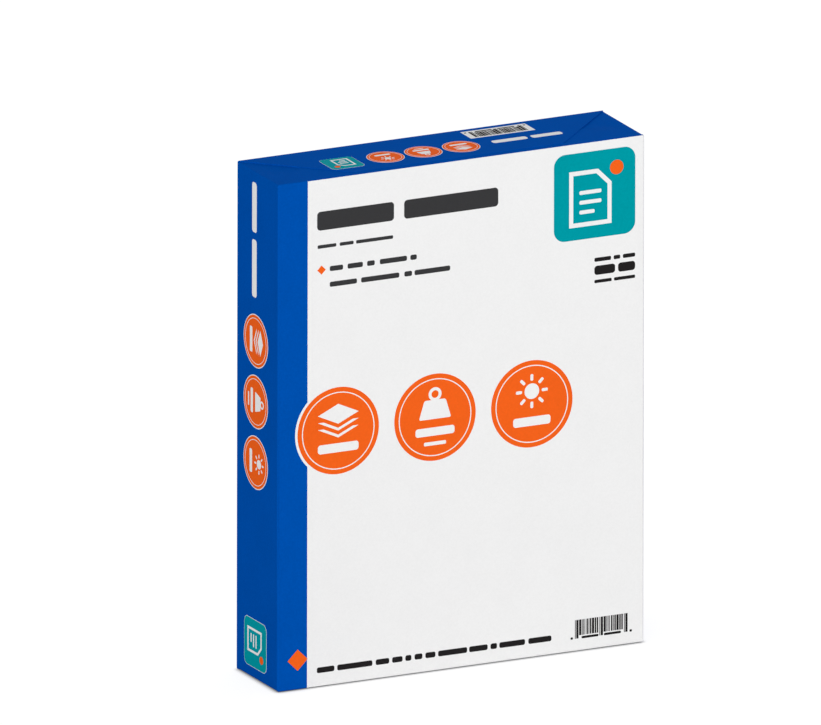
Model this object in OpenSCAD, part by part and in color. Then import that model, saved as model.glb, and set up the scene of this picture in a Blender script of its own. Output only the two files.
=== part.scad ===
// A sealed ream of letter-size copier paper, standing on its short end.
// X runs across the printed front, -Y is the front, +Z is up, and the origin
// is the middle of the end that it stands on. All sizes are in millimetres.

/* [Sheets] */
// Width of one sheet
sheet_w = 215.9; // [205:0.1:230]
// Length of one sheet
sheet_l = 279.4; // [260:0.1:300]
// Number of sheets in the stack
sheet_count = 500; // [450:25:550]
// Thickness of one sheet
sheet_t = 0.099; // [0.09:0.001:0.11]

/* [Wrapper] */
// Thickness of the wrapper's coated paper
wrap_t = 0.12; // [0.08:0.01:0.2]
// Rounding of the wrapper over the stack's four long edges
edge_r = 0.9; // [0.5:0.1:2]
// Rounding of the wrapper where it is folded over an end
fold_r = 0.8; // [0.5:0.1:2]
// Looseness of a folded flap over the layer below it
flap_air = 0.1; // [0:0.05:0.5]
// Strip of an end that a flap leaves uncovered, at the opposite fold
flap_gap = 4; // [1:0.5:12]
// Width of the overlap of the wrapper's two edges on the back
lap_w = 20; // [10:1:25]
// Free edge of that overlap, from the pack's right-hand edge as the front shows it
lap_edge = 36; // [36:1:100]
// Looseness of that overlap over the ply under it
lap_air = 0.1; // [0:0.05:0.5]
// Stretch over which the paper rises onto the hidden edge of the overlap
lap_rise = 3; // [1:0.5:8]

/* [Printed colours] */
// Thickness at which one layer of printed colour is drawn
ink_t = 0.05; // [0.02:0.01:0.1]
// Width of the blue band beside the white ground of the front
band_w = 17.5; // [5:0.5:40]
// White line round a disc or badge that lies on blue
line_w = 0.7; // [0.4:0.1:1.5]
// Diameter of the discs on the front
disc_d = 48; // [30:0.1:55]
// White rim of the front disc that overlaps the band
disc_rim = 1.4; // [0.5:0.1:3]
// Distance from a front disc's edge to its inner line
disc_inset = 2.6; // [1:0.1:6]
// Distance between the middles of neighbouring front discs
disc_pitch = 57.1; // [50:0.1:62]
// Middle of the first front disc, from the left edge
disc_x = 35.6; // [28:0.1:40]
// Width and height of the badge on the front
badge_w = 48; // [30:0.5:60]
// Corner radius of that badge
badge_r = 6.5; // [2:0.5:12]
// Margin from the badge to the pack's right edge and top
badge_margin = 5.5; // [2:0.5:15]

/* [Printed side] */
// Diameter of the discs on the long side
side_disc_d = 28.3; // [15:0.1:32]
// Distance between the middles of neighbouring side discs
side_pitch = 33.6; // [33.5:0.1:40]
// Middle of the lowest side disc, from the bottom
side_disc_z = 120.2; // [90:0.1:140]
// Width and height of the badge on the long side
side_badge_w = 26.4; // [15:0.1:32]
// Middle of the side badge, from the bottom
side_badge_z = 19.8; // [18:0.1:40]
// Middle line of the side's print, from the front
side_line = 26.5; // [20:0.5:28]

/* [Printed end] */
// Diameter of the discs on the top end
end_disc_d = 19.7; // [10:0.1:21]
// Distance between the middles of neighbouring end discs
end_pitch = 22.3; // [22:0.1:24]
// Middle of the first end disc, from the left edge
end_disc_x = 73.7; // [72:0.1:78]
// Width and height of the badge on the top end
end_badge_w = 19; // [10:0.1:20]
// Middle of the end badge, from the left edge
end_badge_x = 48; // [46:0.1:50]
// Middle line of the end's print, from the front
end_line = 21.3; // [18:0.1:24]
// Length of the white label on the top end
label_l = 38; // [20:0.5:50]
// Height of that label
label_h = 13; // [8:0.5:15]
// Middle of the label, from the left edge
label_x = 148.5; // [130:0.5:155]
// Middle of the label, from the back
label_back = 11; // [9:0.5:13]

/* [Hidden] */
$fn = 96;

BLUE = "#004fac";
WHITE = "#f0f0f0";
ORANGE = "#f26422";
TEAL = "#0097a2";

// A flap is its own ply with the crease's ply turned under it
flap_step = 2 * wrap_t + flap_air;

pack_w = sheet_w + 2 * wrap_t;
pack_t = sheet_count * sheet_t + 2 * wrap_t;
// Each end holds the tucks' ply and the two flap steps
pack_h = sheet_l + 2 * (wrap_t + 2 * flap_step);
// Reach of an end flap from the fold that it hangs on
flap_l = pack_t - flap_gap;
// Heights of the folds over the front and over the long sides, from the bottom
front_fold = flap_step;
side_fold = 2 * flap_step;
// Discs in each row
disc_count = 3;

// A rectangle with round corners, centred
module rounded(size, r) {
    square([size.x - 2 * r, size.y], center = true);
    square([size.x, size.y - 2 * r], center = true);
    for (x = [-1, 1], y = [-1, 1])
        translate([x * (size.x / 2 - r), y * (size.y / 2 - r)]) circle(r);
}

// The wrapped stack with its end folds at one level: fold_z is their distance
// from the outermost flap, and every edge has its own rounding
module soft_block(fold_z) {
    h = pack_h - 2 * fold_z;
    translate([0, 0, pack_h / 2]) intersection() {
        linear_extrude(h, center = true) rounded([pack_w, pack_t], edge_r);
        rotate([90, 0, 90]) linear_extrude(pack_w, center = true) rounded([pack_t, h], fold_r);
        rotate([90, 0, 0]) linear_extrude(pack_t, center = true) rounded([pack_w, h], fold_r);
    }
}

// Both end flaps of one panel: side is -1 for the front and 1 for the back.
// The creases at the flap's ends run inwards at 45 degrees.
module end_flaps(side, fold_z) {
    fold_y = side * pack_t / 2;
    free_y = fold_y - side * flap_l;
    intersection() {
        soft_block(fold_z);
        linear_extrude(pack_h) polygon([
            [-pack_w / 2, fold_y],
            [pack_w / 2, fold_y],
            [pack_w / 2 - flap_l, free_y],
            [-pack_w / 2 + flap_l, free_y]
        ]);
    }
}

// The folded sheet over the stack: tucks of the long sides lowest, the front
// flaps over them, and the back flaps outermost
module folded_wrapper() {
    color(BLUE) {
        soft_block(side_fold);
        end_flaps(-1, front_fold);
        end_flaps(1, 0);
    }
}

// Places on the printed walls, outwards along each wall's own normal
module on_front(x, z) {
    translate([x - pack_w / 2, -pack_t / 2, z]) rotate([90, 0, 0]) children();
}

module on_side(y, z) {
    translate([-pack_w / 2, y - pack_t / 2, z]) rotate([0, -90, 0]) children();
}

module on_top(x, y) {
    translate([x - pack_w / 2, y - pack_t / 2, pack_h]) children();
}

// A colour field, as thick as the layers of print that lie there
module field(layers) {
    linear_extrude(layers * ink_t) children();
}

// A round disc with a white rim and a thin white line inside its edge;
// share is its size beside the front's discs
module disc(share, rim) {
    d = share * disc_d;
    line_d = d - 2 * share * disc_inset;
    color(WHITE) field(1) circle(d = d + 2 * rim);
    color(ORANGE) field(2) circle(d = d);
    color(WHITE) field(3) difference() {
        circle(d = line_d);
        circle(d = line_d - 2 * share * line_w);
    }
}

// A square badge with round corners, on a white ground that shows as its rim
module badge(w, rim) {
    r = badge_r * w / badge_w;
    color(WHITE) field(1) rounded([w + 2 * rim, w + 2 * rim], r + rim);
    color(TEAL) field(2) rounded([w, w], r);
}

// The front: white ground beside the blue band, a row of discs and a badge
module front_print() {
    ground_w = pack_w - edge_r - band_w;
    ground_h = pack_h - 2 * (front_fold + fold_r);
    badge_x = pack_w - badge_margin - badge_w / 2;
    badge_z = pack_h - badge_margin - badge_w / 2;
    on_front(band_w, front_fold + fold_r) color(WHITE) field(1) square([ground_w, ground_h]);
    for (i = [0 : disc_count - 1])
        on_front(disc_x + i * disc_pitch, pack_h / 2) disc(1, disc_rim);
    on_front(badge_x, badge_z) badge(badge_w, 0);
}

// The long side: a column of discs and a badge near the bottom
module side_print() {
    for (i = [0 : disc_count - 1])
        on_side(side_line, side_disc_z + i * side_pitch) disc(side_disc_d / disc_d, line_w);
    on_side(side_line, side_badge_z) badge(side_badge_w, line_w);
}

// The top end: badge and discs in a row, and a white label nearer the back
module end_print() {
    on_top(end_badge_x, end_line) badge(end_badge_w, line_w);
    for (i = [0 : disc_count - 1])
        on_top(end_disc_x + i * end_pitch, end_line) disc(end_disc_d / disc_d, line_w);
    on_top(label_x, pack_t - label_back) color(WHITE) field(1) square([label_l, label_h], center = true);
}

// The back: a plain white ground that steps up at the free edge of the overlap
// and comes down again over the wrapper's hidden edge
module back_ground() {
    right = pack_w / 2 - edge_r;
    free = pack_w / 2 - lap_edge;
    hidden = free + lap_w;
    plain = pack_t / 2;
    ground = plain + ink_t;
    lap = ground + wrap_t + lap_air;
    color(WHITE) translate([0, 0, fold_r]) linear_extrude(pack_h - 2 * fold_r) polygon([
        [-right, plain],
        [right, plain],
        [right, ground],
        [hidden + lap_rise, ground],
        [hidden, lap],
        [free, lap],
        [free, ground],
        [-right, ground]
    ]);
}

module wrapped_ream() {
    folded_wrapper();
    front_print();
    side_print();
    end_print();
    back_ground();
}

wrapped_ream();
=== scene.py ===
"""A sealed ream of copier paper: its folded wrapper, the printed colours on it, and the light round it."""
import math

import bmesh
import bpy
from mathutils import Matrix, Vector


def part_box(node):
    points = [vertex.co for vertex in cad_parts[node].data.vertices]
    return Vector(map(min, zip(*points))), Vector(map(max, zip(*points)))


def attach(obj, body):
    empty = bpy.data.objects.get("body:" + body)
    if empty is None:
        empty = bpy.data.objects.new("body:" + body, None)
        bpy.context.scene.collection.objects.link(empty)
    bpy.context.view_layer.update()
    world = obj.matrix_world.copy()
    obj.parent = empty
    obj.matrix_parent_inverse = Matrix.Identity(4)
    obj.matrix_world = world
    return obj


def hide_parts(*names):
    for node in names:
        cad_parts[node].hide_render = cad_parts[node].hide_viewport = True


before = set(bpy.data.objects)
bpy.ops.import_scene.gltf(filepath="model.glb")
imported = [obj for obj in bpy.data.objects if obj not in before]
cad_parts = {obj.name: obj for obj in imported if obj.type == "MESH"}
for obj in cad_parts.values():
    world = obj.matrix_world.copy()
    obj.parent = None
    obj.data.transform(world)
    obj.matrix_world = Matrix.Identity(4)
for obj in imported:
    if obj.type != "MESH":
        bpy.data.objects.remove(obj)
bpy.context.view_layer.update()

MM = 0.001
scene = bpy.context.scene

# The thickness of one layer of print, and the layers: a ground, a field on it, and a mark on that
LAYER = 0.05 * MM
GROUND, FIELD, MARK = 1, 2, 3
PRINT_DEPTH = MARK * LAYER

# The pack under its print, from the solid's box
low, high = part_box("wrapped_ream")
PACK_W = 2 * high.x
PACK_T = -2 * (low.y + PRINT_DEPTH)
PACK_H = high.z - PRINT_DEPTH
LEFT, RIGHT = -PACK_W / 2, PACK_W / 2
FRONT, BACK = -PACK_T / 2, PACK_T / 2
MIDDLE = PACK_H / 2

# The wrapper's folds
WRAP_T = 0.12 * MM
FLAP_STEP = 0.34 * MM
FRONT_FOLD = FLAP_STEP
SIDE_FOLD = 2 * FLAP_STEP
EDGE_R = 0.9 * MM
FOLD_R = 0.8 * MM
FLAP_GAP = 4 * MM
FLAP_L = PACK_T - FLAP_GAP

# The overlap of the wrapper's two edges on the back
LAP_EDGE = RIGHT - 36 * MM
LAP_W = 20 * MM
LAP_LIFT = WRAP_T + 0.1 * MM
LAP_RISE = 3 * MM

# The dip of a side tuck where no flap presses it down, and the finer mesh that it needs
TUCK_DIP = 0.35 * MM
TUCK_R = 10 * MM
TUCK_X = RIGHT - 10.3 * MM
TUCK_MESH = 1.2 * MM
TUCK_CUTS = 8

# How far a colour field reaches into what carries it
SINK = 0.02 * MM

# How near two places count as one, and how near a point counts as lying on a cut
TOUCH = 0.001 * MM
ON_CUT = 0.1 * TOUCH

# Steps of a rounding and of a field's corner, and sides of a disc and of a small one
ROUND_STEPS = 6
CORNER_STEPS = 8
DISC_SIDES = 96
SMALL_DISC_SIDES = 48

# The most that a field's corner may take of its shorter side
CORNER_MOST = 0.49

# Faces that differ by less than the first angle become one, and by less than the second look smooth
FLAT_ANGLE = math.radians(0.02)
SMOOTH_ANGLE = math.radians(35)

# Width over which a white ground runs out beside a fold
FEATHER = 0.3 * MM

# Print of the front, measured from its left edge and its bottom
BAND_W = 17.5 * MM
DISC_D = 48 * MM
DISC_RIM = 1.4 * MM
DISC_INSET = 2.6 * MM
DISC_LINE = 0.55 * MM
DISC_X = (35.6 * MM, 92.7 * MM, 149.8 * MM)
BADGE_W = 48 * MM
BADGE_R = 6.5 * MM
BADGE_MARGIN = 5.5 * MM
STRIPES_X, STRIPES_Y = 191 * MM, 13.2 * MM
STRIPES_H = 8.6 * MM

# Orange rhombs of the front, in millimetres: across, up, and their width
RHOMBS = ((25.6, 230.5, 5), (11.9, 16.6, 11.8))

# White outlines of the smaller discs and badges, in millimetres at the size of the front's
SMALL_DISC_RIM = 0.85
SMALL_BADGE_RIM = 0.45

# Print of the long side and of the top end, each along one line
SIDE_LINE = 26.5 * MM
SIDE_DISC_D = 28.3 * MM
SIDE_DISC_Z = (187.4 * MM, 153.8 * MM, 120.2 * MM)
SIDE_BADGE_W = 26.4 * MM
SIDE_BADGE_Z = 19.8 * MM
END_LINE = 21.3 * MM
END_DISC_D = 19.7 * MM
END_DISC_X = (118.3 * MM, 96 * MM, 73.7 * MM)
END_BADGE_W = 19 * MM
END_BADGE_X = 48 * MM

# The label of the top end, and the stripes on it, which lie a little above its middle
LABEL_L, LABEL_H = 38 * MM, 13 * MM
LABEL_X = 148.5 * MM
LABEL_BACK = 11 * MM
LABEL_STRIPES_UP = 1.1 * MM
LABEL_STRIPES_H = 7.8 * MM

# Rows of bars, in millimetres: a row's middle, its height, and then the two ends of each bar
HEAD_ROW = (257.6, 10.4, (23, 68.3), (74.3, 129.8))
GREY_ROWS = (
    (243.4, 1.9, (23.3, 34.3), (36.3, 44.5), (46, 67.8)),
    (230.6, 2.8, (30.5, 38.3), (41, 50), (52.5, 57), (60, 76), (78, 81.8)),
    (221.9, 2.8, (30.5, 46.5), (49, 71.5), (74.5, 79), (80.5, 101.5)),
)
BLACK_ROWS = (
    (215.2, 2.2, (186.6, 196.4), (198, 201.8), (203.4, 210.6)),
    (209.3, 5, (186.6, 198.8), (200.6, 210.6)),
    (203.2, 1.8, (186.6, 196.8), (198.2, 210.6)),
    (9.4, 3.1, (23.3, 33.6), (35.3, 56), (58, 65.9), (67.7, 73.8), (75.5, 79), (80.9, 85.5)),
    (9.4, 3.1, (87.3, 93.2), (94.8, 111.9), (113.1, 124), (125.7, 129.5), (130.9, 146), (148, 161.6)),
)
SIDE_ROW = (-2, 5.4, (-274.6, -247), (-243, -211.2))
END_ROW = (-0.3, 4.6, (-177.8, -159.8), (-157.2, -136.8))

# Corner of a bar as a share of its height, and the most that it may be
BAR_ROUND = 0.32
BAR_ROUND_MOST = 2 * MM

# Upright stripes: their whole width, their number, and how much further down some of them reach
ALL_STRIPES_W = 31 * MM
STRIPE_COUNT = 26
STRIPE_REACH = 1.7 * MM

# The narrowest gap, where the narrowest stripe is 1
STRIPE_GAP = 0.8

# Dashes under the stripes: in millimetres the middle and the length of each, and then what they share
DASHES = ((-17.4, 1.4), (-6.6, 10), (6.6, 10), (17.4, 1.4))
DASH_H = 1.3 * MM
DASH_DOWN = 1.3 * MM
DASH_R = 0.5 * MM

# Colours as a renderer adds them, with no gamma
BLUE = (0.0, 0.078, 0.413, 1)
WHITE = (0.857, 0.857, 0.857, 1)
ORANGE = (0.88, 0.122, 0.0123, 1)
TEAL = (0.0, 0.31, 0.361, 1)
GREY = (0.041, 0.041, 0.043, 1)
BLACK = (0.017, 0.0155, 0.016, 1)

# Noises of the paper: waves to the metre, and detail
FIBRES = (900, 3)
CLOUDS = (38, 2)
WAVES = (16, 2)
SHEET_LINES = (2, 4)
SHEET_STRETCH = (1, 160, 1)

# What the noises add to the relief, the depth of the relief, and the roughness with its clouds
FIBRE_RELIEF = 0.2
WAVE_RELIEF = 4.0
SHEET_RELIEF = 0.9
RELIEF = 0.1 * MM
ROUGHNESS = 0.55
CLOUD_ROUGHNESS = 0.12

# The photograph is a parallel view from the left and a little above
VIEW_TURN = math.radians(-26.11)
VIEW_RISE = math.radians(16.6)
VIEW_ROLL = math.radians(0.1)
VIEW_WIDTH = 0.43496
VIEW_DISTANCE = 2.5
VIEW_END = 20
VIEW_ACROSS = -0.01585
VIEW_UP = 0.0206

# The floor: its shape, the colour that takes the shadow and the glow over it where it is seen, the
# narrow shadow close to the pack, and the colour that throws light back at the pack
FLOOR_R = 5
FLOOR_SIDES = 96
FLOOR_SHADED = (0.24, 0.24, 0.24, 1)
FLOOR_GLOW = 0.86
CONTACT_REACH = 3 * MM
CONTACT_SAMPLES = 16
FLOOR_BOUNCE = (0.8, 0.8, 0.8, 1)

# The world, and the lamps: name, direction towards it, and strength
WORLD_COLOUR = (1, 1, 1, 1)
WORLD_LIGHT = 0.54
LAMP_ANGLE = math.radians(40)
LAMPS = (
    ("key_light", (-0.385, -0.81, 0.2), 1.79),
    ("fill_light", (0.6, 0.75, 0.04), 1.8),
)


# Camera

def make_camera():
    """A camera without perspective that looks the way the photograph does."""
    level = math.cos(VIEW_RISE)
    back = Vector((math.sin(VIEW_TURN) * level, -math.cos(VIEW_TURN) * level, math.sin(VIEW_RISE)))
    right = Vector((math.cos(VIEW_TURN), math.sin(VIEW_TURN), 0))
    up = back.cross(right)
    turned = Matrix((right, up, back)).transposed().to_4x4() @ Matrix.Rotation(VIEW_ROLL, 4, "Z")
    aim = Vector((0, 0, MIDDLE)) + VIEW_ACROSS * right + VIEW_UP * up
    lens = bpy.data.cameras.new("camera")
    lens.type = "ORTHO"
    lens.ortho_scale = VIEW_WIDTH
    lens.clip_end = VIEW_END
    camera = bpy.data.objects.new("camera", lens)
    camera.matrix_world = Matrix.Translation(aim + VIEW_DISTANCE * back) @ turned
    scene.collection.objects.link(camera)
    scene.camera = camera


make_camera()


# Steps that many pieces take

def deselect():
    """Leaves edit mode, with nothing selected."""
    if bpy.context.mode != "OBJECT":
        bpy.ops.object.mode_set(mode="OBJECT")
    bpy.ops.object.select_all(action="DESELECT")


def take(piece):
    """Makes one piece the selected and active one."""
    deselect()
    piece.select_set(True)
    bpy.context.view_layer.objects.active = piece
    return piece


def edit(piece):
    """Opens one piece in edit mode, with all of it selected."""
    take(piece)
    bpy.ops.object.mode_set(mode="EDIT")
    bpy.ops.mesh.select_all(action="SELECT")


def pick(kind, wanted):
    """Selects the edges, faces or points in edit mode for which wanted is true."""
    bpy.ops.mesh.select_mode(type=kind)
    bpy.ops.mesh.select_all(action="DESELECT")
    mesh = bpy.context.object.data
    form = bmesh.from_edit_mesh(mesh)
    parts = {"FACE": form.faces, "EDGE": form.edges, "VERT": form.verts}[kind]
    for part in parts:
        part.select_set(bool(wanted(part)))
    form.select_flush_mode()
    bmesh.update_edit_mesh(mesh)


def cut(place, normal, drop=False, fill=False, everything=True):
    """Cuts the mesh in edit mode along a plane in its own axes, and drops what lies beyond it if asked."""
    axes = bpy.context.object.matrix_world
    if everything:
        bpy.ops.mesh.select_all(action="SELECT")
    bpy.ops.mesh.bisect(
        plane_co=axes @ Vector(place),
        plane_no=axes.to_3x3() @ Vector(normal),
        use_fill=fill,
        clear_outer=drop,
        threshold=ON_CUT,
    )


def scale_to(shape, wide, tall):
    """Gives a flat shape of unit size its width and height, in its own axes."""
    shape.scale = (wide, tall, 1)
    bpy.ops.object.transform_apply(location=False, rotation=False, scale=True)
    return shape


def settle(piece):
    """Leaves a piece's object at the origin, with its place in its mesh."""
    take(piece)
    bpy.ops.object.transform_apply(location=True, rotation=True, scale=True)
    return piece


def join(pieces):
    """Makes one piece of several."""
    for piece in pieces:
        settle(piece)
    for piece in pieces:
        piece.select_set(True)
    bpy.context.view_layer.objects.active = pieces[0]
    if len(pieces) > 1:
        bpy.ops.object.join()
    return pieces[0]


def unite(piece, others):
    """Joins closed solids into one skin."""
    for other in others:
        boolean = piece.modifiers.new("unite", "BOOLEAN")
        boolean.operation = "UNION"
        boolean.solver = "EXACT"
        boolean.object = other
        take(piece)
        bpy.ops.object.modifier_apply(modifier=boolean.name)
        bpy.data.objects.remove(other, do_unlink=True)
    return piece


def finish_piece(piece, name, material):
    """Names a piece, gives it its material where one is passed, and sets its body."""
    piece.name = name
    piece.data.name = name
    if material:
        piece.data.materials.clear()
        piece.data.materials.append(material)
    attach(piece, "root")
    return piece


# Surfaces

def link(tree, source, target):
    """Leads one socket into another."""
    tree.links.new(source, target)


def node(tree, kind, **settings):
    """Adds a node, with its settings."""
    made = tree.nodes.new(kind)
    for name, value in settings.items():
        setattr(made, name, value)
    return made


def maths(tree, operation, first, second):
    """One operation on two sockets or numbers."""
    made = node(tree, "ShaderNodeMath", operation=operation)
    for socket, value in zip(made.inputs, (first, second)):
        if isinstance(value, (int, float)):
            socket.default_value = value
        else:
            link(tree, value, socket)
    return made.outputs[0]


def sum_of(tree, start, *terms):
    """A start, and to it each value times its share."""
    total = start
    for value, share in terms:
        total = maths(tree, "ADD", maths(tree, "MULTIPLY", value, share), total)
    return total


def paper_noise(tree, place, scale, detail, stretch=(1, 1, 1)):
    """Noise round zero instead of its usual 0.5, with so many waves to the metre."""
    mapping = node(tree, "ShaderNodeMapping")
    mapping.inputs["Scale"].default_value = stretch
    link(tree, place, mapping.inputs["Vector"])
    made = node(tree, "ShaderNodeTexNoise")
    made.inputs["Scale"].default_value = scale
    made.inputs["Detail"].default_value = detail
    link(tree, mapping.outputs["Vector"], made.inputs["Vector"])
    return maths(tree, "SUBTRACT", made.outputs["Fac"], 0.5)


def coated_paper_group():
    """Fibres, a cloudy coat, and the soft waves of paper that lies tight over a stack of sheets."""
    group = bpy.data.node_groups.new("Coated paper", "ShaderNodeTree")
    face = group.interface
    face.new_socket("Colour", in_out="INPUT", socket_type="NodeSocketColor")
    for name in ("Fibre", "Cloud", "Roughness"):
        face.new_socket(name, in_out="INPUT", socket_type="NodeSocketFloat")
    face.new_socket("Colour", in_out="OUTPUT", socket_type="NodeSocketColor")
    face.new_socket("Roughness", in_out="OUTPUT", socket_type="NodeSocketFloat")
    face.new_socket("Height", in_out="OUTPUT", socket_type="NodeSocketFloat")
    given = node(group, "NodeGroupInput").outputs
    result = node(group, "NodeGroupOutput").inputs
    place = node(group, "ShaderNodeTexCoord").outputs["Object"]
    fibre = paper_noise(group, place, *FIBRES)
    cloud = paper_noise(group, place, *CLOUDS)
    waves = paper_noise(group, place, *WAVES)
    sheets = paper_noise(group, place, *SHEET_LINES, stretch=SHEET_STRETCH)
    shade = node(group, "ShaderNodeVectorMath", operation="SCALE")
    link(group, given["Colour"], shade.inputs["Vector"])
    tone = sum_of(group, 1.0, (fibre, given["Fibre"]), (cloud, given["Cloud"]))
    link(group, tone, shade.inputs["Scale"])
    link(group, shade.outputs["Vector"], result["Colour"])
    link(group, sum_of(group, given["Roughness"], (cloud, CLOUD_ROUGHNESS)), result["Roughness"])
    height = sum_of(group, 0.0, (fibre, FIBRE_RELIEF), (waves, WAVE_RELIEF), (sheets, SHEET_RELIEF))
    link(group, height, result["Height"])
    return group


COATED = coated_paper_group()


def paper(name, colour, fibre, cloud, shine):
    """One colour of print on coated paper."""
    material = bpy.data.materials.new(name)
    material.use_nodes = True
    tree = material.node_tree
    shader = tree.nodes["Principled BSDF"]
    coat = node(tree, "ShaderNodeGroup", node_tree=COATED)
    coat.inputs["Colour"].default_value = colour
    coat.inputs["Fibre"].default_value = fibre
    coat.inputs["Cloud"].default_value = cloud
    coat.inputs["Roughness"].default_value = ROUGHNESS
    bump = node(tree, "ShaderNodeBump")
    bump.inputs["Distance"].default_value = RELIEF
    shader.inputs["Specular IOR Level"].default_value = shine
    link(tree, coat.outputs["Colour"], shader.inputs["Base Color"])
    link(tree, coat.outputs["Roughness"], shader.inputs["Roughness"])
    link(tree, coat.outputs["Height"], bump.inputs["Height"])
    link(tree, bump.outputs["Normal"], shader.inputs["Normal"])
    return material


blue_print = paper("blue_print", BLUE, fibre=0.22, cloud=0.12, shine=0.0002)
white_ground = paper("white_ground", WHITE, fibre=0.07, cloud=0.04, shine=0.002)
orange_print = paper("orange_print", ORANGE, fibre=0.14, cloud=0.08, shine=0.002)
teal_print = paper("teal_print", TEAL, fibre=0.18, cloud=0.1, shine=0.0015)
grey_print = paper("grey_print", GREY, fibre=0.12, cloud=0.08, shine=0.002)
black_print = paper("black_print", BLACK, fibre=0.12, cloud=0.08, shine=0.002)


# Wrapper

def soft_block(fold_z):
    """The wrapped stack with its end folds fold_z inside the outermost flaps, and all its edges rounded."""
    tall = PACK_H - 2 * fold_z
    deselect()
    bpy.ops.mesh.primitive_cube_add(size=1, location=(0, 0, MIDDLE), scale=(PACK_W, PACK_T, tall))
    block = settle(bpy.context.object)
    edit(block)
    pick("EDGE", lambda edge: abs(edge.verts[0].co.z - edge.verts[1].co.z) > tall / 2)
    bpy.ops.mesh.bevel(offset=EDGE_R, segments=ROUND_STEPS, affect="EDGES")
    pick("EDGE", lambda edge: abs(sum(point.co.z - MIDDLE for point in edge.verts)) > tall - TOUCH)
    bpy.ops.mesh.bevel(offset=FOLD_R, segments=ROUND_STEPS, affect="EDGES")
    deselect()
    return block


def flap_pair(side, fold_z):
    """The two end flaps of the front or the back panel, cut by their creases at 45 degrees."""
    block = soft_block(fold_z)
    fold_y = side * PACK_T / 2
    edit(block)
    cut((0, fold_y - side * FLAP_L, 0), (0, -side, 0), drop=True, fill=True)
    for end in (-1, 1):
        cut((end * RIGHT, fold_y, 0), (end, -side, 0), drop=True, fill=True)
    deselect()
    return block


def cut_level(level, place, normal):
    """Cuts only the faces that lie flat at one level."""
    pick("FACE", lambda face: all(abs(point.co.z - level) < TOUCH for point in face.verts))
    cut(place, normal, everything=False)


def dip_tucks(block):
    """Sinks the side tucks a little, where no flap holds them against the sheets."""
    edit(block)
    steps = [i * TUCK_MESH for i in range(-TUCK_CUTS, TUCK_CUTS + 1)]
    for end in (-1, 1):
        level = MIDDLE + end * (MIDDLE - SIDE_FOLD)
        for side in (-1, 1):
            for step in steps:
                cut_level(level, (side * TUCK_X + step, 0, 0), (1, 0, 0))
        for step in steps:
            cut_level(level, (0, step, 0), (0, 1, 0))
        for side in (-1, 1):
            pick("VERT", lambda point: (point.co - Vector((side * TUCK_X, 0, level))).length < TOUCH)
            bpy.ops.transform.translate(
                value=(0, 0, -end * TUCK_DIP),
                use_proportional_edit=True,
                proportional_edit_falloff="SMOOTH",
                proportional_size=TUCK_R,
            )
    deselect()
    return block


def colour_wrapper(wrapper):
    """Blue paper, and white behind the white grounds: on to the middle of the rounding beside them,
    and round the lower folds."""
    wrapper.data.materials.clear()
    for material in (blue_print, white_ground):
        wrapper.data.materials.append(material)
    half_round = EDGE_R * (1 - math.cos(math.radians(45)))
    for face in wrapper.data.polygons:
        place = face.center
        lower_fold = place.z < SIDE_FOLD + FOLD_R and RIGHT - abs(place.x) > BACK - abs(place.y)
        border = BACK - (FOLD_R if lower_fold else half_round)
        on_front = place.y < -border and place.x > LEFT + BAND_W
        face.material_index = int(place.y > border or on_front)


def wrap():
    """The folded sheet: tucks of the long sides lowest, front flaps over them, back flaps outermost."""
    tucked = dip_tucks(soft_block(SIDE_FOLD))
    wrapper = unite(tucked, [flap_pair(-1, FRONT_FOLD), flap_pair(1, 0)])
    # Only the front and the roundings beside it are cut where the blue band ends
    front_reach = FRONT + 1.5 * EDGE_R
    edit(wrapper)
    bpy.ops.mesh.dissolve_limited(angle_limit=FLAT_ANGLE)
    pick("FACE", lambda face: all(point.co.y < front_reach for point in face.verts))
    cut((LEFT + BAND_W, 0, 0), (1, 0, 0), everything=False)
    deselect()
    colour_wrapper(wrapper)
    take(wrapper)
    bpy.ops.object.shade_smooth_by_angle(angle=SMOOTH_ANGLE)
    weigh = wrapper.modifiers.new("weigh", "WEIGHTED_NORMAL")
    weigh.keep_sharp = True
    bpy.ops.object.modifier_apply(modifier=weigh.name)
    finish_piece(wrapper, "wrapper", None)
    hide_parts("wrapped_ream")


wrap()


# Flat shapes of print, each laid on its wall: local x runs across the wall, y up it and z out of it

def wall(origin, across, up):
    """The axes of one wall."""
    axes = (Vector(across), Vector(up), Vector(across).cross(Vector(up)))
    return Matrix.Translation(origin) @ Matrix(axes).transposed().to_4x4()


FRONT_WALL = wall((LEFT, FRONT, 0), (1, 0, 0), (0, 0, 1))
SIDE_WALL = wall((LEFT, FRONT + SIDE_LINE, 0), (0, 0, -1), (0, -1, 0))
TOP_WALL = wall((LEFT, FRONT + END_LINE, PACK_H), (-1, 0, 0), (0, -1, 0))


def spot(on, x, y, layer, turn=0.0):
    """Where a flat shape goes: on its wall, on top of so many layers of print."""
    return on @ Matrix.Translation((x, y, layer * LAYER)) @ Matrix.Rotation(turn, 4, "Z")


def plate(on, x, y, wide, tall, layer, corner=0.0, turn=0.0):
    """A four-sided field, with round corners if asked."""
    place = spot(on, x, y, layer, turn)
    deselect()
    bpy.ops.mesh.primitive_plane_add(size=1, location=place.translation, rotation=place.to_euler())
    shape = scale_to(bpy.context.object, wide, tall)
    if corner:
        most = CORNER_MOST * min(wide, tall)
        edit(shape)
        bpy.ops.mesh.bevel(offset=min(corner, most), segments=CORNER_STEPS, affect="VERTICES")
    deselect()
    return shape


def polygon(on, x, y, wide, tall, layer, sides):
    """A disc, or a rhombus, with its first corner at the top."""
    place = spot(on, x, y, layer)
    deselect()
    bpy.ops.mesh.primitive_circle_add(
        vertices=sides,
        radius=0.5,
        fill_type="NGON",
        location=place.translation,
        rotation=place.to_euler(),
    )
    return scale_to(bpy.context.object, wide, tall)


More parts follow.
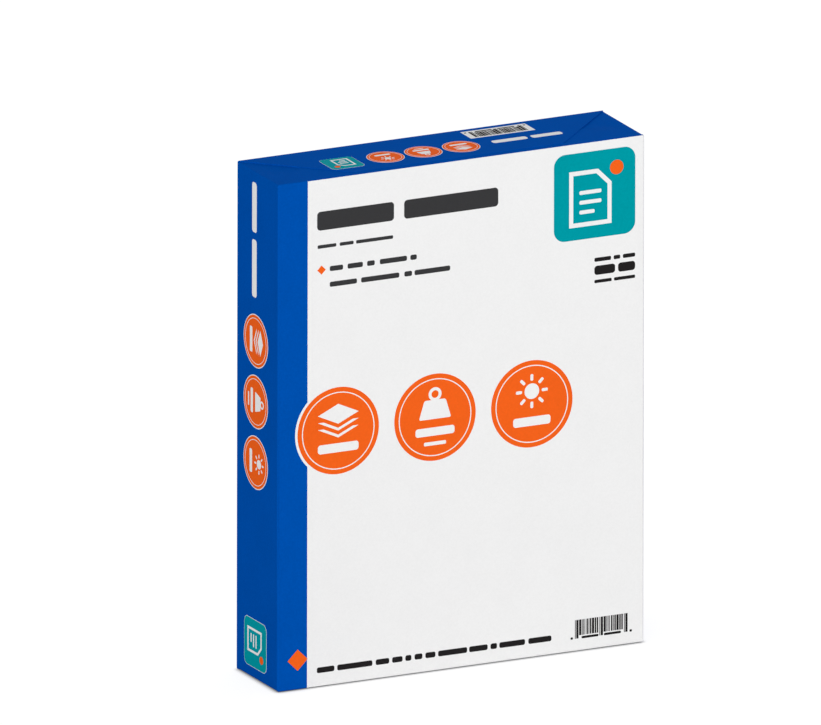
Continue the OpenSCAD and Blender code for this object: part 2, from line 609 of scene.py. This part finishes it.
def rhomb(on, x, y, wide, tall, layer):
    """A four-sided field that stands on its corner."""
    return polygon(on, x, y, wide, tall, layer, 4)


def disc(on, x, y, across, layer, sides=DISC_SIDES):
    """A round field."""
    return polygon(on, x, y, across, across, layer, sides)


def hollow(shape, line):
    """Leaves only a line of a flat shape, along its outline."""
    edit(shape)
    bpy.ops.mesh.inset(thickness=line)
    bpy.ops.mesh.delete(type="FACE")
    deselect()
    return shape


def trim(shape, y, side):
    """Drops what a flat shape has above a line in its own axes, or below it where side is -1."""
    edit(shape)
    cut((0, y, 0), (0, side, 0), drop=True)
    deselect()
    return shape


def bar_row(on, row, layer):
    """A row of bars."""
    middle, tall, *bars = row
    corner = min(BAR_ROUND * tall * MM, BAR_ROUND_MOST)
    shapes = []
    for left, right in bars:
        x, wide = (left + right) / 2 * MM, (right - left) * MM
        shapes.append(plate(on, x, middle * MM, wide, tall * MM, layer, corner))
    return shapes


def stripes(on, x, y, tall, layer):
    """Upright stripes with uneven widths and gaps, and dashes under them."""
    count = STRIPE_COUNT
    # The pairs of stripes at both ends and in the middle reach further down
    long_ones = (0, 1, count // 2 - 1, count // 2, count - 2, count - 1)
    # Stripes of 1, 2 or 3 and gaps of one or two of the narrowest, mixed by plain sums
    thick = [1 + (i * i * 5 + i * 3 + i // 4) % 3 for i in range(count)]
    gaps = [STRIPE_GAP * (1 + (i * i // 2 + i) % 3 // 2) for i in range(count - 1)] + [0]
    unit = ALL_STRIPES_W / (sum(thick) + sum(gaps))
    shapes = []
    left = x - ALL_STRIPES_W / 2
    for i in range(count):
        down = STRIPE_REACH if i in long_ones else 0
        stripe = thick[i] * unit
        shapes.append(plate(on, left + stripe / 2, y - down / 2, stripe, tall + down, layer))
        left += stripe + gaps[i] * unit
    dash_y = y - tall / 2 - DASH_DOWN
    for across, long in DASHES:
        shapes.append(plate(on, x + across * MM, dash_y, long * MM, DASH_H, layer, DASH_R))
    return shapes


def feather(shape):
    """Lets the border of a flat shape run out over a short slope, one layer down."""
    edit(shape)
    bpy.ops.mesh.inset(thickness=FEATHER)
    pick("VERT", lambda point: any(edge.is_boundary for edge in point.link_edges))
    bpy.ops.transform.translate(value=(0, 0, -LAYER), orient_type="LOCAL")
    deselect()
    return shape


def film(shapes, name, material, layer):
    """Gives flat shapes their thickness, down to what carries them."""
    piece = join(shapes)
    solid = piece.modifiers.new("thickness", "SOLIDIFY")
    solid.thickness = layer * LAYER + SINK
    solid.offset = -1
    take(piece)
    bpy.ops.object.modifier_apply(modifier=solid.name)
    return finish_piece(piece, name, material)


# Signs inside a disc: unit is a millimetre on the front's discs, and less on smaller ones

def sheets_sign(on, x, y, unit, layer):
    """A stack of sheets seen from above: a rhombus with two lower edges under it."""
    wide, tall = 24 * unit, 11 * unit
    top = y + 9.3 * unit
    line = 1.4 * unit
    shapes = [rhomb(on, x, top, wide, tall, layer)]
    for drop in (3.8, 7.6):
        edge = hollow(rhomb(on, x, top - drop * unit, wide, tall, layer), line)
        shapes.append(trim(edge, 0, 1))
    return shapes


def weight_sign(on, x, y, unit, layer):
    """A weight: a foot that narrows upwards, with a ring on it."""
    wide, tall = 19 * unit, 10.6 * unit
    foot_y = y + 4.4 * unit
    narrowed, corner = 0.66, 1.1 * unit
    foot = plate(on, x, foot_y, wide, tall, layer)
    edit(foot)
    pick("VERT", lambda point: point.co.y > 0)
    bpy.ops.transform.resize(value=(narrowed, 1, 1), orient_type="LOCAL")
    bpy.ops.mesh.select_all(action="SELECT")
    bpy.ops.mesh.bevel(offset=corner, segments=ROUND_STEPS, affect="VERTICES")
    ring_d, ring_line, overlap = 7.6 * unit, 1.7 * unit, 0.7 * unit
    ring_y = foot_y + (tall + ring_d) / 2 - overlap
    ring = hollow(disc(on, x, ring_y, ring_d, layer, SMALL_DISC_SIDES), ring_line)
    return [foot, trim(ring, overlap - ring_d / 2, -1)]


def sun_sign(on, x, y, unit, layer):
    """A sun: a disc with eight rays."""
    middle = y + 7 * unit
    across = 8.6 * unit
    shapes = [disc(on, x, middle, across, layer, SMALL_DISC_SIDES)]
    rays, reach = 8, 7.6 * unit
    long, thick, corner = 3.6 * unit, 1.7 * unit, 0.7 * unit
    for i in range(rays):
        turn = math.tau * i / rays
        ray_x, ray_y = x + reach * math.cos(turn), middle + reach * math.sin(turn)
        shapes.append(plate(on, ray_x, ray_y, long, thick, layer, corner, turn))
    return shapes


# Each disc's sign, and the bars under it: how far down, how wide and how tall
DISC_PRINTS = (
    (sheets_sign, ((9.4, 24, 5),)),
    (weight_sign, ((7.8, 23, 4.6), (14.4, 13, 2))),
    (sun_sign, ((9.6, 22, 5),)),
)

# The ruled lines of a badge's leaf: how far up, and how long
RULES = ((1.8, 13), (-3.6, 13), (-9, 9))


def disc_print(on, x, y, unit, layer, sign, bars):
    """The white print of one disc: its inner line, its sign and the bars under it."""
    line_d = (DISC_D - 2 * DISC_INSET) / MM * unit
    shapes = [hollow(disc(on, x, y, line_d, layer), DISC_LINE / MM * unit)]
    shapes += sign(on, x, y, unit, layer)
    for down, wide, tall in bars:
        corner = BAR_ROUND * tall * unit
        shapes.append(plate(on, x, y - down * unit, wide * unit, tall * unit, layer, corner))
    return shapes


def badge_print(on, x, y, unit, layer):
    """The white print of a badge: a leaf of paper with a cut corner and ruled lines."""
    leaf_x, leaf_y = x - 2.5 * unit, y - 1.5 * unit
    wide, tall = 25 * unit, 31 * unit
    cut_corner, outline = 8 * unit, 2.4 * unit
    leaf = plate(on, leaf_x, leaf_y, wide, tall, layer)
    edit(leaf)
    pick("VERT", lambda point: point.co.x > 0 and point.co.y > 0)
    bpy.ops.mesh.bevel(offset=cut_corner, segments=1, affect="VERTICES")
    shapes = [hollow(leaf, outline)]
    longest = max(long for up, long in RULES)
    rule_h, rule_r = 2.1 * unit, 0.8 * unit
    for up, long in RULES:
        rule_x = leaf_x + (long - longest) / 2 * unit
        shapes.append(plate(on, rule_x, y + up * unit, long * unit, rule_h, layer, rule_r))
    return shapes


def badge_dot(on, x, y, unit, layer):
    """The dot beside the leaf's cut corner."""
    dot_x, dot_y, across = x + 13 * unit, y + 13.5 * unit, 8 * unit
    return [disc(on, dot_x, dot_y, across, layer, SMALL_DISC_SIDES)]


# Front

def print_front():
    """The white ground beside the blue band, the discs, the badge, the rows of bars and the stripes."""
    on = FRONT_WALL
    right = PACK_W - EDGE_R
    tall = PACK_H - 2 * (FRONT_FOLD + FOLD_R)
    ground = plate(on, (BAND_W + right) / 2, MIDDLE, right - BAND_W, tall, GROUND)
    ground = film([feather(ground)], "front_ground", white_ground, GROUND)
    rim = disc(on, DISC_X[0], MIDDLE, DISC_D + 2 * DISC_RIM, GROUND)
    unite(ground, [film([rim], "rim", white_ground, GROUND)])
    discs = [disc(on, x, MIDDLE, DISC_D, FIELD) for x in DISC_X]
    film(discs, "front_discs", orange_print, FIELD)
    marks = []
    for x, (sign, bars) in zip(DISC_X, DISC_PRINTS):
        marks += disc_print(on, x, MIDDLE, MM, MARK, sign, bars)
    film(marks, "front_disc_print", white_ground, MARK)
    badge = (PACK_W - BADGE_MARGIN - BADGE_W / 2, PACK_H - BADGE_MARGIN - BADGE_W / 2)
    field = plate(on, *badge, BADGE_W, BADGE_W, FIELD, BADGE_R)
    film([field], "front_badge", teal_print, FIELD)
    film(badge_print(on, *badge, MM, MARK), "front_badge_leaf", white_ground, MARK)
    film(badge_dot(on, *badge, MM, MARK), "front_badge_dot", orange_print, MARK)
    grey = []
    for row in (HEAD_ROW, *GREY_ROWS):
        grey += bar_row(on, row, FIELD)
    film(grey, "front_words", grey_print, FIELD)
    black = stripes(on, STRIPES_X, STRIPES_Y, STRIPES_H, FIELD)
    for row in BLACK_ROWS:
        black += bar_row(on, row, FIELD)
    film(black, "front_fine_print", black_print, FIELD)
    rhombs = [rhomb(on, x * MM, y * MM, wide * MM, wide * MM, FIELD) for x, y, wide in RHOMBS]
    film(rhombs, "front_bullets", orange_print, FIELD)


print_front()


# Left side and top end

def print_row(on, name, places, disc_d, badge, badge_w, more_white):
    """A row of discs with a badge, with white rims on the blue, and what else is white there."""
    unit = disc_d / DISC_D * MM
    badge_unit = badge_w / BADGE_W * MM
    corner = BADGE_R / BADGE_W * badge_w
    rims = [disc(on, x, 0, disc_d + 2 * SMALL_DISC_RIM * unit, GROUND) for x in places]
    rim = SMALL_BADGE_RIM * badge_unit
    rims.append(plate(on, badge, 0, badge_w + 2 * rim, badge_w + 2 * rim, GROUND, corner + rim))
    film(rims + more_white, name + "_ground", white_ground, GROUND)
    discs = [disc(on, x, 0, disc_d, FIELD) for x in places]
    film(discs, name + "_discs", orange_print, FIELD)
    marks = badge_print(on, badge, 0, badge_unit, MARK)
    for x, (sign, bars) in zip(places, DISC_PRINTS):
        marks += disc_print(on, x, 0, unit, MARK, sign, bars)
    film(marks, name + "_disc_print", white_ground, MARK)
    field = plate(on, badge, 0, badge_w, badge_w, FIELD, corner)
    film([field], name + "_badge", teal_print, FIELD)
    dot = badge_dot(on, badge, 0, badge_unit, MARK)
    film(dot, name + "_badge_dot", orange_print, MARK)


def print_side():
    """The long side: a column of discs and bars, and a badge near the bottom."""
    white = bar_row(SIDE_WALL, SIDE_ROW, GROUND)
    places = [-z for z in SIDE_DISC_Z]
    print_row(SIDE_WALL, "side", places, SIDE_DISC_D, -SIDE_BADGE_Z, SIDE_BADGE_W, white)


def print_top():
    """The top end: a row of badge, discs and bars, and a white label with stripes nearer the back."""
    label_y = END_LINE - (PACK_T - LABEL_BACK)
    white = bar_row(TOP_WALL, END_ROW, GROUND)
    white.append(plate(TOP_WALL, -LABEL_X, label_y, LABEL_L, LABEL_H, GROUND))
    places = [-x for x in END_DISC_X]
    print_row(TOP_WALL, "top", places, END_DISC_D, -END_BADGE_X, END_BADGE_W, white)
    black = stripes(TOP_WALL, -LABEL_X, label_y + LABEL_STRIPES_UP, LABEL_STRIPES_H, FIELD)
    film(black, "top_label_code", black_print, FIELD)


print_side()
print_top()


# Back

def back_ground():
    """A plain white ground that steps up at the free edge of the overlap and comes down again over
    the wrapper's hidden edge."""
    outer = BACK + LAYER
    hidden = LAP_EDGE + LAP_W
    facing = (math.radians(90), 0, math.radians(180))

    def on_lap(face):
        middle = face.calc_center_median()
        return LAP_EDGE < middle.x < hidden and middle.y > outer - TOUCH

    def at_foot(edge):
        return all(max(abs(point.co.x - hidden), abs(point.co.y - outer)) < TOUCH for point in edge.verts)

    deselect()
    bpy.ops.mesh.primitive_plane_add(size=1, location=(0, outer, MIDDLE), rotation=facing)
    ground = settle(feather(scale_to(bpy.context.object, PACK_W - 2 * EDGE_R, PACK_H - 2 * FOLD_R)))
    edit(ground)
    bpy.ops.mesh.extrude_region_move(TRANSFORM_OT_translate={"value": (0, -LAYER - SINK, 0)})
    cut((LAP_EDGE, 0, 0), (1, 0, 0))
    cut((hidden, 0, 0), (1, 0, 0))
    pick("FACE", on_lap)
    bpy.ops.mesh.extrude_region_move(TRANSFORM_OT_translate={"value": (0, LAP_LIFT, 0)})
    pick("EDGE", at_foot)
    bpy.ops.transform.translate(value=(LAP_RISE, 0, 0))
    bpy.ops.mesh.select_all(action="SELECT")
    bpy.ops.mesh.normals_make_consistent(inside=False)
    deselect()
    finish_piece(ground, "back_ground", white_ground)


back_ground()


# Floor, world and lamps

def seen_rays(tree):
    """1 for the rays that show the surroundings: seen directly, mirrored or through glass."""
    path = node(tree, "ShaderNodeLightPath")
    seen = maths(tree, "MAXIMUM", path.outputs["Is Camera Ray"], path.outputs["Is Glossy Ray"])
    return maths(tree, "MAXIMUM", seen, path.outputs["Is Transmission Ray"])


def floor_material():
    """White where it is seen, with the pack's shadow on it, and pale where it only throws light back."""
    material = bpy.data.materials.new("studio_floor")
    material.use_nodes = True
    tree = material.node_tree
    tree.nodes.clear()
    shadowed = node(tree, "ShaderNodeBsdfDiffuse")
    shadowed.inputs["Color"].default_value = FLOOR_SHADED
    near = node(tree, "ShaderNodeAmbientOcclusion", samples=CONTACT_SAMPLES)
    near.inputs["Distance"].default_value = CONTACT_REACH
    glow = node(tree, "ShaderNodeEmission")
    link(tree, maths(tree, "MULTIPLY", near.outputs["AO"], FLOOR_GLOW), glow.inputs["Strength"])
    pale = node(tree, "ShaderNodeAddShader")
    link(tree, shadowed.outputs[0], pale.inputs[0])
    link(tree, glow.outputs[0], pale.inputs[1])
    lit = node(tree, "ShaderNodeBsdfDiffuse")
    lit.inputs["Color"].default_value = FLOOR_BOUNCE
    either = node(tree, "ShaderNodeMixShader")
    link(tree, seen_rays(tree), either.inputs[0])
    link(tree, lit.outputs[0], either.inputs[1])
    link(tree, pale.outputs[0], either.inputs[2])
    output = node(tree, "ShaderNodeOutputMaterial")
    link(tree, either.outputs[0], output.inputs["Surface"])
    return material


def make_floor():
    """A wide flat disc under the pack."""
    deselect()
    bpy.ops.mesh.primitive_circle_add(
        vertices=FLOOR_SIDES,
        radius=FLOOR_R,
        fill_type="NGON",
        location=(0, 0, 0),
    )
    floor = bpy.context.object
    floor.name = "studio_floor"
    floor.data.materials.append(floor_material())


def make_world():
    """Even light from all sides, and plain white where it is seen."""
    world = bpy.data.worlds.new("studio")
    scene.world = world
    world.use_nodes = True
    tree = world.node_tree
    tree.nodes.clear()
    lights = node(tree, "ShaderNodeBackground")
    lights.inputs["Strength"].default_value = WORLD_LIGHT
    shows = node(tree, "ShaderNodeBackground")
    shows.inputs["Strength"].default_value = 1
    for background in (lights, shows):
        background.inputs["Color"].default_value = WORLD_COLOUR
    either = node(tree, "ShaderNodeMixShader")
    link(tree, seen_rays(tree), either.inputs[0])
    link(tree, lights.outputs[0], either.inputs[1])
    link(tree, shows.outputs[0], either.inputs[2])
    output = node(tree, "ShaderNodeOutputWorld")
    link(tree, either.outputs[0], output.inputs["Surface"])


def make_lamp(name, towards, strength):
    """A soft lamp far away."""
    lamp = bpy.data.lights.new(name, "SUN")
    lamp.energy = strength
    lamp.angle = LAMP_ANGLE
    holder = bpy.data.objects.new(name, lamp)
    holder.rotation_euler = Vector(towards).to_track_quat("Z", "Y").to_euler()
    scene.collection.objects.link(holder)


make_floor()
make_world()
for name, towards, strength in LAMPS:
    make_lamp(name, towards, strength)
scene.view_settings.view_transform = "Standard"
